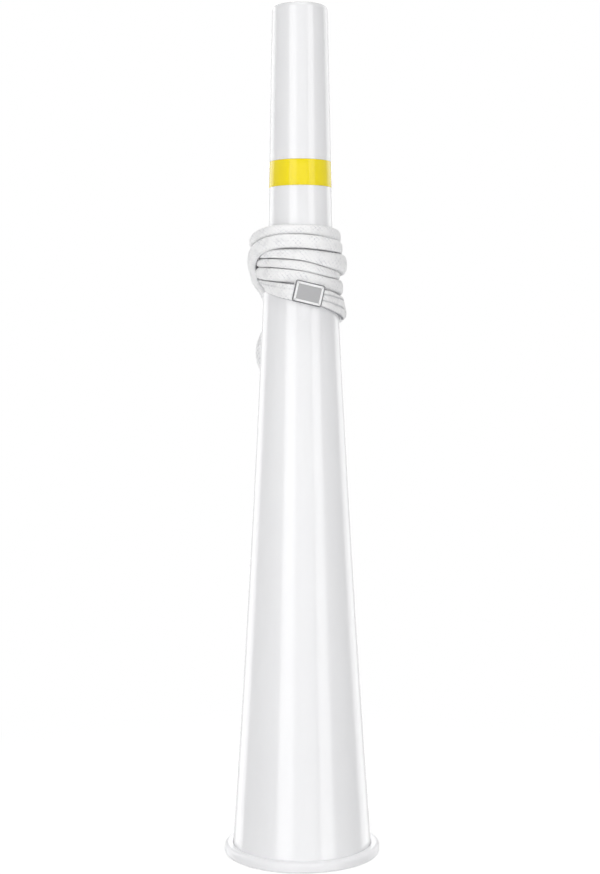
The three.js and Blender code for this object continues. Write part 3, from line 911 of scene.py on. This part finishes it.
@dataclass(frozen=True)
class Rope:
    """One endless soft rope: wound round the neck, through the clasp, and hanging in a loop behind.

    Sizes are in mm. Tables whose rows start with a place count it in turns from the front of the first
    turn, and fall_edge gives the azimuth of the downturn's edge by height, beside which shade is painted.
    """

    horn: Horn = Horn()
    clasp: Clasp = Clasp()
    free_diameter: float = 9.0
    on_horn: float = 0.3
    crease_gap: float = 0.15
    layer_step: float = 6.4
    ring_step: float = 0.64
    samples: int = 9000
    sides: int = 46
    outline_points: int = 241
    front_power: float = 3.0
    climb_share_behind: float = 0.5
    fall: float = 40.0
    start_degrees: float = -140.5
    top_degrees: float = -15.0
    fall_power: float = 2.1
    passes_under_from: float = 1.5
    rounding_degrees: float = 25.0
    last_start: float = 4.5
    last_end: float = 5.33
    round_from: float = 5.25
    end_fall: float = 7.0
    clasp_thick: float = 4.9
    clasp_half: float = 6.4
    flat_degrees: float = 19.0
    ease_degrees: float = 26.0
    straight_end: float = 9.0
    leaving_rings: int = 12
    entering_rings: int = 18
    crease_width: float = 0.6
    # Painted shade: where turns touch (contact_from), under the downturn (under_from, under_full) and beside
    # the downturn (the fall_ fields).
    contact_from: float = 0.9
    under_from: float = 0.5
    under_full: float = 0.75
    fall_shade_degrees: float = 4.0
    fall_fade_degrees: float = 16.0
    fall_shade: float = 0.7
    # The real braid is too fine for this picture, so it is drawn as coarse as it needs to show.
    braid_strands: int = 8
    braid_pitch: float = 25.0
    braid_height: float = 0.2
    braid_patches: tuple[int, int] = (61, 37)
    braid_least: float = 0.6
    braid_dive: float = 0.1
    braid_softness: float = 1.5
    turns: tuple[Turn, ...] = (
        Turn((470.1, 470.0, 469.8, 467.6, 465.0), (5.0, 5.2, 5.25, 4.9, 3.4), (7.8, 7.4, 6.6, 6.6, 6.4),
             right_power=3.2),
        Turn((471.3, 477.7, 478.8, 477.2, 474.0), (3.8, 4.1, 3.9, 4.7, 5.4), (7.0, 7.0, 7.2, 6.4, 5.9)),
        Turn((461.7, 461.1, 460.0, 456.4, 453.8), (3.5, 3.5, 4.55, 6.2, 7.6), (8.6, 8.2, 7.0, 7.0, 7.0),
             right_power=2.2),
        Turn((455.5, 454.1, 451.6, 446.9, 445.2), (3.2, 3.35, 3.75, 3.5, 3.0), (8.6, 8.2, 7.2, 6.0, 4.6)),
        Turn((448.0, 445.7, 442.6, 438.3, 436.4), (4.5, 5.1, 5.3, 5.05, 6.0), (8.8, 8.4, 7.2, 6.8, 6.8)),
        Turn((441.4, 435.4, 430.4, 425.2, 420.0), (2.2, 5.2, 6.4, 7.3, 7.8), (7.6, 6.4, 5.0, 4.8, 4.4),
             right_power=2.8),
    )
    stand_off_shares: Table = (
        (-0.4, 0.8), (-0.37, 1.1), (-0.33, 1.34), (-0.29, 1.16), (-0.25, 1.2), (-0.12, 1.1), (0, 0.78),
        (0.16, 0.5), (0.25, 0.05), (0.35, 0.55), (0.5, 1.08), (0.62, 1.2), (0.75, 1.12), (0.81, 1.0),
        (0.87, 0.7), (0.94, 0.3), (1, 0), (2, 0), (2.25, 0.5), (2.5, 0), (4.4, 0), (4.5, 0.22), (4.6, 0),
        (5.5, 0),
    )
    # Each ply crease dents the skin and is painted with shade as deep as the dent, up to 1.
    ply_creases: tuple[PlyCrease, ...] = (
        PlyCrease(places=((5.05, 0.36), (5.25, 0.78)),
                  depths=((4.7, 0), (4.8, 0.3), (4.95, 0.15), (5.05, 0.5), (5.25, 0.6), (5.33, 0))),
        PlyCrease(places=((5.05, -0.3), (5.25, -0.12)),
                  depths=((4.95, 0), (5.05, 0.5), (5.25, 0.6), (5.33, 0))),
    )
    # Painted shade by place: under the downturn, and where turns touch.
    under_shades: Table = ((-0.37, 0), (-0.33, 1), (-0.2, 1), (-0.13, 0.4), (-0.08, 0))
    contact_shades: Table = (
        (-0.16, 0), (-0.06, 0.3), (0, 0.35), (1, 0.2), (2, 0.35), (3, 0.15), (4, 0.3), (4.6, 0.4), (4.75, 1),
    )
    # The azimuth of the downturn's edge by height, beside which painted shade lies.
    fall_edge: Table = (
        (435.5, -58.5), (440, -73), (443.5, -84), (455, -84), (458, -71.3), (460, -63.7), (462.4, -53),
        (464.9, -43.7),
    )
    loop_route: tuple[Triple, ...] = (
        (19.5, 31.5, 412.5), (13.5, 36.3, 407.5), (9.6, 38.4, 401), (7.6, 38.7, 394),
        (7.4, 38.6, 387.3), (4.8, 38.3, 377.5), (-2.3, 38, 370.4), (-12.1, 37.9, 367.8),
        (-21.8, 37.5, 370.0), (-28.6, 35.5, 376.2), (-31, 33, 384.4), (-30.8, 33.2, 390.9),
        (-28.7, 34.2, 398.1), (-25.2, 35.4, 405.8), (-21.8, 36.2, 413.3), (-19.6, 35.8, 420),
    )

    @property
    def start(self) -> float:
        """The place, in turns from the front, where the rope comes round from the hanging loop."""
        return self.start_degrees / FULL_TURN

    def turn_here(self, place: float) -> tuple[Turn, int, float]:
        """The turn at a place counted in turns, its number and the azimuth there in degrees."""
        k = math.floor(place + 0.5)
        return self.turns[min(len(self.turns) - 1, max(0, k))], k, (place - k) * FULL_TURN

    def turn_at(self, place: float) -> Triple:
        """The rope's height, half width and thickness at a place, in front and behind.

        Args:
            place: The place, in turns from the front of the first one.

        Returns:
            The three sizes, in millimetres.
        """
        here, k, degrees = self.turn_here(place)
        if k == 0 and degrees < self.top_degrees:
            share = (degrees - self.top_degrees) / (self.start_degrees - self.top_degrees)
            top, half, thick = here.at(self.top_degrees)
            half = mix(half, self.free_diameter / 2, share)
            thick = mix(thick, here.thick[0], smooth_share(2 * share))
            return top - self.fall * share ** self.fall_power, half, thick
        if abs(degrees) <= QUARTER_TURN:
            return here.at(degrees)
        before = here if degrees > 0 else self.turns[k - 1]
        behind = ((degrees + FULL_TURN) % FULL_TURN - QUARTER_TURN) / HALF_TURN
        if degrees > 0 and k + 1 >= len(self.turns):
            drop = self.end_fall * (2 * behind) ** 2 - before.slope(1) * behind
            return before.heights[-1] - drop, before.halves[-1], before.thick[-1]
        after = self.turns[k + 1] if degrees > 0 else here
        climb, next_climb = (self.climb_share_behind * slope for slope in (before.slope(1), after.slope(0)))
        height = hermite(before.heights[-1], after.heights[0], climb, next_climb, behind)
        share = smooth_share(behind)
        half = mix(before.halves[-1], after.halves[0], share)
        return height, half, mix(before.thick[-1], after.thick[0], share)

    def ring_at(self, place: float) -> Ring:
        """The rope's ring at a place.

        Args:
            place: The place, in turns from the front of the first one.

        Returns:
            The ring, in millimetres.
        """
        horn, clasp = self.horn, self.clasp
        z, half, depth = self.turn_at(place)
        turn, _, degrees = self.turn_here(place)
        end_rounding = smooth_share((place - self.round_from) / (self.last_end - self.round_from))
        start_rounding = 1 - smooth_share((place - self.start) * FULL_TURN / self.rounding_degrees)
        roundness = max(end_rounding, start_rounding)
        from_clasp = abs(degrees - clasp.azimuth_degrees)
        near_clasp = in_clasp = 0.0
        if place >= self.last_start:
            near_clasp = 1 - smooth_share((from_clasp - self.flat_degrees) / self.ease_degrees)
            in_clasp = 1 - smooth_share((from_clasp - self.flat_degrees / 2) / self.flat_degrees)
        half = mix(half - self.crease_gap, self.clasp_half, in_clasp)
        depth = mix(depth, self.clasp_thick, in_clasp)
        thick = mix(depth / 2, self.free_diameter / 2, roundness)
        wide = mix(half, self.free_diameter / 2, roundness)
        rise = self.layer_step * max(0.0, from_table(self.stand_off_shares, place))
        hugging = horn.under(z) + self.on_horn + thick + rise
        plane = horn.bell_radius(clasp.centre_height) + clasp.back_stand_off + clasp.back_thickness
        middle = plane + horn.seat + self.clasp_thick / 2
        straight = middle / math.cos(math.radians(min(from_clasp, self.flat_degrees)))
        centre = on_circle(mix(hugging, straight, near_clasp), degrees, z)
        creases = tuple(
            (from_table(crease.places, place), from_table(crease.depths, place))
            for crease in self.ply_creases if place > crease.depths[0][0]
        )
        at_right = smooth_share((degrees - TURN_PLACES[3]) / (TURN_PLACES[4] - TURN_PLACES[3]))
        power = mix(mix(self.front_power, turn.right_power, at_right), Ring.power, roundness)
        # Painted shade where the turns touch, and under the downturn's lower side.
        touch_shade = max(0.0, from_table(self.contact_shades, place) * (1 - roundness))
        under = max(0.0, from_table(self.under_shades, place)) if place < 0 else 0.0
        return Ring(centre, wide, thick, creases, power, touch_shade, under, self.braid_least,
                    place > self.passes_under_from)

    def free_loop(self, rings: list[Ring]) -> list[Ring]:
        """The loop that hangs behind the horn, from the last wound ring round to the first.

        Args:
            rings: The wound rings, in order.

        Returns:
            Rings along the loop, without the two that it joins.
        """
        leaves, enters = rings[-1].centre, rings[0].centre
        leaving = (leaves - rings[-self.leaving_rings].centre).normalized()
        entering = (enters - rings[self.entering_rings].centre).normalized()
        half = self.straight_end / 2
        points = [
            leaves, leaves + leaving * half, leaves + leaving * 2 * half,
            *[Vector(p) for p in self.loop_route],
            enters + entering * 2 * half, enters + entering * half, enters,
        ]
        radius = self.free_diameter / 2
        return [Ring(p, radius, radius) for p in smooth_line(points, self.ring_step)[1:-1]]

    def rings(self) -> list[Ring]:
        """All rings of the closed rope, about a ring step apart.

        Returns:
            The wound rings and then those of the hanging loop.
        """
        places = [mix(self.start, self.last_end, k / self.samples) for k in range(self.samples + 1)]
        samples = [self.ring_at(place) for place in places]
        wound, gone = [samples[0]], 0.0
        for before, ring in zip(samples, samples[1:]):
            gone += (ring.centre - before.centre).length
            if gone >= self.ring_step:
                wound.append(ring)
                gone = 0.0
        return wound + self.free_loop(wound)

    def outline(self, ring: Ring) -> tuple[np.ndarray, np.ndarray]:
        """A ring's cross-section, as points spaced evenly round it, the first and last of them alike.

        Args:
            ring: The ring.

        Returns:
            Across and out sizes of each point in mm, and its painted shade from 0 to 1.
        """
        angles = np.linspace(0, math.tau, self.outline_points)
        across, out = np.cos(angles), np.sin(angles)
        x = np.sign(across) * np.abs(across) ** (2 / ring.power) * ring.wide
        y = np.sign(out) * np.abs(out) ** (2 / ring.power) * ring.thick
        length = np.concatenate([[0], np.cumsum(np.hypot(np.diff(x), np.diff(y)))])
        even = np.linspace(0, length[-1], self.sides + 1)
        x, y = np.interp(even, length, x), np.interp(even, length, y)
        # Painted shade at the edges where turns touch, under the lower side, and in the ply creases.
        touch_shade = (np.abs(x) / ring.wide - self.contact_from) / (1 - self.contact_from)
        beneath = (-y / ring.thick - self.under_from) / (self.under_full - self.under_from) * (x < 0)
        painted_shade = np.maximum(ring.touch_shade * np.clip(touch_shade, 0, 1), ring.under * np.clip(beneath, 0, 1))
        for place, depth in ring.creases:
            valley = np.exp(-((x - place * ring.wide) / self.crease_width) ** 2) * np.clip(y, 0, 1)
            y = y - valley * depth
            painted_shade = np.maximum(painted_shade, valley * min(1.0, depth))
        return np.column_stack([x, y]), painted_shade

    def braid(self, along: float, around: np.ndarray, repeats: int, least: float) -> np.ndarray:
        """The height of the braid, from 0 in a valley to 1 on a strand.

        Args:
            along: The share of the rope's length.
            around: The shares of the way round.
            repeats: How many pitches the rope has.
            least: How clear the braid is in its faintest patches.

        Returns:
            The height at each place round the rope.
        """
        first = self.braid_strands * (around + along * repeats)
        second = self.braid_strands * (around - along * repeats)
        one, other = (np.abs(np.sin(math.pi * strand)) ** self.braid_softness for strand in (first, second))
        over = (np.floor(first) + np.floor(second)) % 2 == 0
        height = np.where(over, one * mix(1, other, self.braid_dive), other * mix(1, one, self.braid_dive))
        long, short = self.braid_patches
        clear = np.sin(math.tau * (around + long * along)) * np.sin(math.tau * (2 * around - short * along))
        return 1 - (1 - height) * mix(least, 1, 0.5 + 0.5 * clear)

    def beside(self, skin: np.ndarray) -> np.ndarray:
        """How much painted shade lies on the skin beside the downturn's edge.

        Args:
            skin: The places on the skin, in mm.

        Returns:
            The shade of each, from 0 to 1.
        """
        angle = np.degrees(np.arctan2(skin[..., 0], -skin[..., 1]))
        past = np.interp(skin[..., 2].ravel(), *np.transpose(self.fall_edge)).reshape(angle.shape) - angle
        rise = np.clip(0.5 + past / self.fall_shade_degrees, 0, 1)
        return self.fall_shade * rise * np.clip(1 - past / self.fall_fade_degrees, 0, 1) ** 2

    def tube(self, rings: list[Ring]) -> Object:
        """The rope's closed skin, pressed against the horn.

        Args:
            rings: The rope's rings, in order.

        Returns:
            The rope.
        """
        count = len(rings)
        centres = np.array([r.centre for r in rings])
        ahead = unit(np.roll(centres, -1, axis=0) - np.roll(centres, 1, axis=0))
        out = unit(centres * (1, 1, 0))
        out = unit(out - ahead * np.sum(out * ahead, axis=1)[:, None])
        across = np.cross(out, ahead)
        repeats = round(count * self.ring_step / self.braid_pitch)
        around = np.linspace(0, 1, self.sides + 1)
        skin = np.zeros((count + 1, self.sides + 1, 3))
        heights, creases = np.zeros(skin.shape[:2]), np.zeros(skin.shape[:2])
        for k in range(count + 1):
            i = k % count
            section, creases[k] = self.outline(rings[i])
            heights[k] = self.braid(k / count, around, repeats, rings[i].clear)
            edge = np.roll(section[:-1], -1, axis=0) - np.roll(section[:-1], 1, axis=0)
            normal = unit(np.column_stack([edge[:, 1], -edge[:, 0]]))
            normal = np.vstack([normal, normal[:1]])
            section = section + normal * ((heights[k] - 1) * self.braid_height)[:, None]
            skin[k] = centres[i] + section[:, :1] * across[i] + section[:, 1:] * out[i]
        # Painted shade beside the downturn, on the rings that pass under it.
        passes = np.array([ring.passes_under for ring in [*rings, rings[0]]])
        creases = np.maximum(creases, self.beside(skin) * passes[:, None])
        reach = np.hypot(skin[..., 0], skin[..., 1])
        least = np.vectorize(self.horn.surface)(skin[..., 2]) + self.on_horn
        skin[..., :2] *= np.maximum(1.0, least / reach)[..., None]
        return rolled_up("rope", skin, braid=heights, crease=creases)

    def build(self, clasp_pieces: list[Object]) -> None:
        """Args:
            clasp_pieces: The clasp's pieces, which are not used.
        """
        rings = self.rings()
        line = [tuple(r.centre * MM) for r in rings]
        length = sum((Vector(b) - Vector(a)).length for a, b in zip(line, line[1:]))
        rope = self.tube(rings)
        material = ROPE_BRAID.build(length, math.pi * self.free_diameter * MM)
        dress(rope, [material], Body.BELL, Slot.ROPE, "cord_winding", "cord_last_turn", "cord_hanging_loop")
        log.info("rope: %d rings, %.3f m", len(rings), length)


def unit(rows: np.ndarray) -> np.ndarray:
    """Rows of vectors, each made one long."""
    return rows / np.linalg.norm(rows, axis=1)[:, None]


def rolled_up(name: str, skin: np.ndarray, **attributes: np.ndarray) -> Object:
    """A grid that is rolled up and joined end to end.

    Args:
        name: The new object's name.
        skin: The place of each point in mm, along and round, with both seams' points given twice.
        **attributes: A value at each point, for each of the skin's attributes.

    Returns:
        The closed skin.
    """
    count, sides = skin.shape[0] - 1, skin.shape[1] - 1
    bm = bmesh.new()
    bmesh.ops.create_grid(bm, x_segments=count, y_segments=sides, size=0.5, calc_uvs=True)
    for attribute in attributes:
        bm.verts.layers.float.new(attribute)
    layers = {bm.verts.layers.float[attribute]: table for attribute, table in attributes.items()}
    for vert in bm.verts:
        i, j = round((vert.co.x + 0.5) * count), round((vert.co.y + 0.5) * sides)
        vert.co = skin[i, j] * MM
        for layer, table in layers.items():
            vert[layer] = table[i, j]
    bmesh.ops.remove_doubles(bm, verts=bm.verts, dist=WELD)
    bmesh.ops.recalc_face_normals(bm, faces=bm.faces)
    return finish_mesh(bm, name)


def smooth_line(points: list[Vector], step: float) -> list[Vector]:
    """Points a step apart on a centripetal curve through given points.

    Args:
        points: The points that the curve passes.
        step: The spacing.

    Returns:
        Evenly spaced points, with both ends.
    """
    first, last = 2 * points[0] - points[1], 2 * points[-1] - points[-2]
    padded = [first, *points, last]
    fine: list[Vector] = []
    for k in range(1, len(padded) - 2):
        near = padded[k - 1:k + 3]
        knots = list(accumulate((b - a).length ** 0.5 for a, b in zip(near, near[1:])))
        knots.insert(0, 0.0)
        for n in range(CURVE_STEPS):
            t, row = mix(knots[1], knots[2], n / CURVE_STEPS), near
            for spans in CURVE_SPANS:
                shares = [(t - knots[a]) / (knots[b] - knots[a]) for a, b in spans]
                row = [a.lerp(b, share) for a, b, share in zip(row, row[1:], shares)]
            fine.append(row[0])
    fine.append(points[-1])
    gone = np.concatenate([[0], np.cumsum([(b - a).length for a, b in zip(fine, fine[1:])])])
    count = max(2, round(gone[-1] / step))
    even = np.linspace(0, gone[-1], count + 1)
    table = np.array(fine)
    return [Vector([np.interp(s, gone, table[:, axis]) for axis in range(3)]) for s in even]


@dataclass(frozen=True)
class Lamp:
    """A soft lamp: its azimuth in degrees, its distance and sizes in metres, its power in watts.

    One that doesn't mirror lights the horn and leaves no reflection on it.
    """

    name: str
    azimuth: float
    distance: float
    width: float
    watts: float
    mirrors: bool = True
    height: float = 0.42
    tall: float = 1.7


@dataclass(frozen=True)
class Studio:
    """The plain studio round the horn: camera, floor, white surroundings and soft lamps."""

    camera_place: Triple = (-0.00077, -1.2318, 0.3743)
    pitch_degrees: float = 2.43
    roll_degrees: float = -0.15
    focal_pixels: float = 1600.0
    long_side_pixels: float = 874.0
    sensor_mm: float = 36.0
    clip_metres: tuple[float, float] = (0.01, 50.0)
    floor_size: float = 6.0
    floor_colour: str = "F4F4F4"
    floor_glow: float = 0.7
    floor_dim: float = 0.45
    fade_start: float = 0.16
    fade_end: float = 0.5
    aim_height: float = 0.36
    ambient: float = 0.05
    lamps: tuple[Lamp, ...] = (
        Lamp("centre_fill", 6, 1.6, 1.2, 4.6),
        Lamp("left_strip", -28, 1.3, 0.64, 7.2),
        Lamp("right_strip", 43, 1.3, 0.54, 5.3),
        Lamp("left_fill", -58, 1.3, 0.7, 1.8, mirrors=False),
        Lamp("left_edge", -131, 1.15, 0.62, 4.9),
        Lamp("right_edge", 131, 1.15, 0.62, 4.3),
        Lamp("back_fill", 180, 1.6, 0.5, 4.8),
    )
    top_elevation: float = 78.0
    top_strength: float = 1.15
    top_softness: float = 50.0

    def camera(self) -> None:
        """Makes the camera where the photograph was taken from."""
        data = bpy.data.cameras.new("camera")
        data.sensor_width = self.sensor_mm
        data.lens = self.focal_pixels / self.long_side_pixels * self.sensor_mm
        data.clip_start, data.clip_end = self.clip_metres
        made = add_object("camera", data)
        made.location = self.camera_place
        pitch, roll = math.radians(QUARTER_TURN - self.pitch_degrees), math.radians(self.roll_degrees)
        made.rotation_euler = (Matrix.Rotation(pitch, 3, "X") @ Matrix.Rotation(roll, 3, "Z")).to_euler()
        bpy.context.scene.camera = made

    def world(self) -> None:
        """White surroundings for camera and shiny rays, and a plain soft light on everything else."""
        world = bpy.data.worlds.new("studio")
        bpy.context.scene.world = world
        world.use_nodes = True
        world.node_tree.nodes.clear()
        add = partial(add_node, world.node_tree)
        rays = add("LightPath").outputs
        shiny = add("Math", links={0: rays["Is Glossy Ray"], 1: rays["Is Transmission Ray"]},
                    operation="MAXIMUM")
        seen = add("Math", links={0: rays["Is Camera Ray"], 1: shiny}, operation="MAXIMUM")
        light, shown = (add("Background", {"Color": WHITE, "Strength": glow}) for glow in (self.ambient, 1.0))
        both = add("MixShader", links={0: seen, 1: light, 2: shown})
        add("OutputWorld", links={"Surface": both})

    def floor(self) -> None:
        """A pale matt floor that keeps the horn's soft shadow and fades to the plain white round it.

        Shiny rays go through it, so that the lower bell reflects the plain surroundings too.
        """
        bm = bmesh.new()
        bmesh.ops.create_grid(bm, x_segments=1, y_segments=1, size=self.floor_size / 2)
        made = finish_mesh(bm, "floor")
        material, add = empty_material("pale_floor")
        rays = add("LightPath").outputs
        away = add("VectorMath", links={0: add("TexCoord").outputs["Object"]}, operation="LENGTH")
        fade = add("MapRange", {"From Min": self.fade_start, "From Max": self.fade_end}, {"Value": away},
                   interpolation_type="SMOOTHSTEP")
        matt, dim = (
            add("BsdfDiffuse", {"Color": colour})
            for colour in (self.floor_colour, (*[self.floor_dim] * 3, 1.0))
        )
        glow, white = (add("Emission", {"Color": WHITE, "Strength": glow}) for glow in (self.floor_glow, 1.0))
        shaded = add("AddShader", links={0: glow, 1: dim})
        shown = add("MixShader", links={0: fade, 1: shaded, 2: white})
        lit = add("MixShader", links={0: rays["Is Camera Ray"], 1: matt, 2: shown})
        both = add("MixShader", links={0: rays["Is Glossy Ray"], 1: lit, 2: add("BsdfTransparent")})
        add("OutputMaterial", links={"Surface": both})
        made.data.materials.append(material)

    def light(self) -> None:
        """Sets the soft lamps round the horn, each turned to its middle, and a soft light from above."""
        aim = Vector((0, 0, self.aim_height))
        for lamp in self.lamps:
            data = bpy.data.lights.new(lamp.name, "AREA")
            data.shape, data.size, data.size_y, data.energy = "RECTANGLE", lamp.width, lamp.tall, lamp.watts
            made = add_object(lamp.name, data)
            made.location = on_circle(lamp.distance, lamp.azimuth, lamp.height)
            made.rotation_euler = (aim - made.location).to_track_quat("-Z", "Y").to_euler()
            made.visible_camera = False
            made.visible_glossy = lamp.mirrors
        above = bpy.data.lights.new("top_light", "SUN")
        above.energy, above.angle = self.top_strength, math.radians(self.top_softness)
        made = add_object("top_light", above)
        made.rotation_euler = (math.radians(QUARTER_TURN - self.top_elevation), 0.0, 0.0)

    def build(self) -> None:
        """Sets up the view transform, the surroundings, the floor and the lamps."""
        bpy.context.scene.view_settings.view_transform = "Standard"
        self.world()
        self.floor()
        self.light()


def main() -> None:
    """Builds the scene: camera and rope first, then the horn, and the studio round them."""
    logging.basicConfig(level=logging.INFO, format="%(name)s: %(message)s")
    studio = Studio()
    studio.camera()
    Rope().build(clasp_pieces=Clasp().build())
    Horn().build()
    studio.build()


if __name__ == "__main__":
    main()
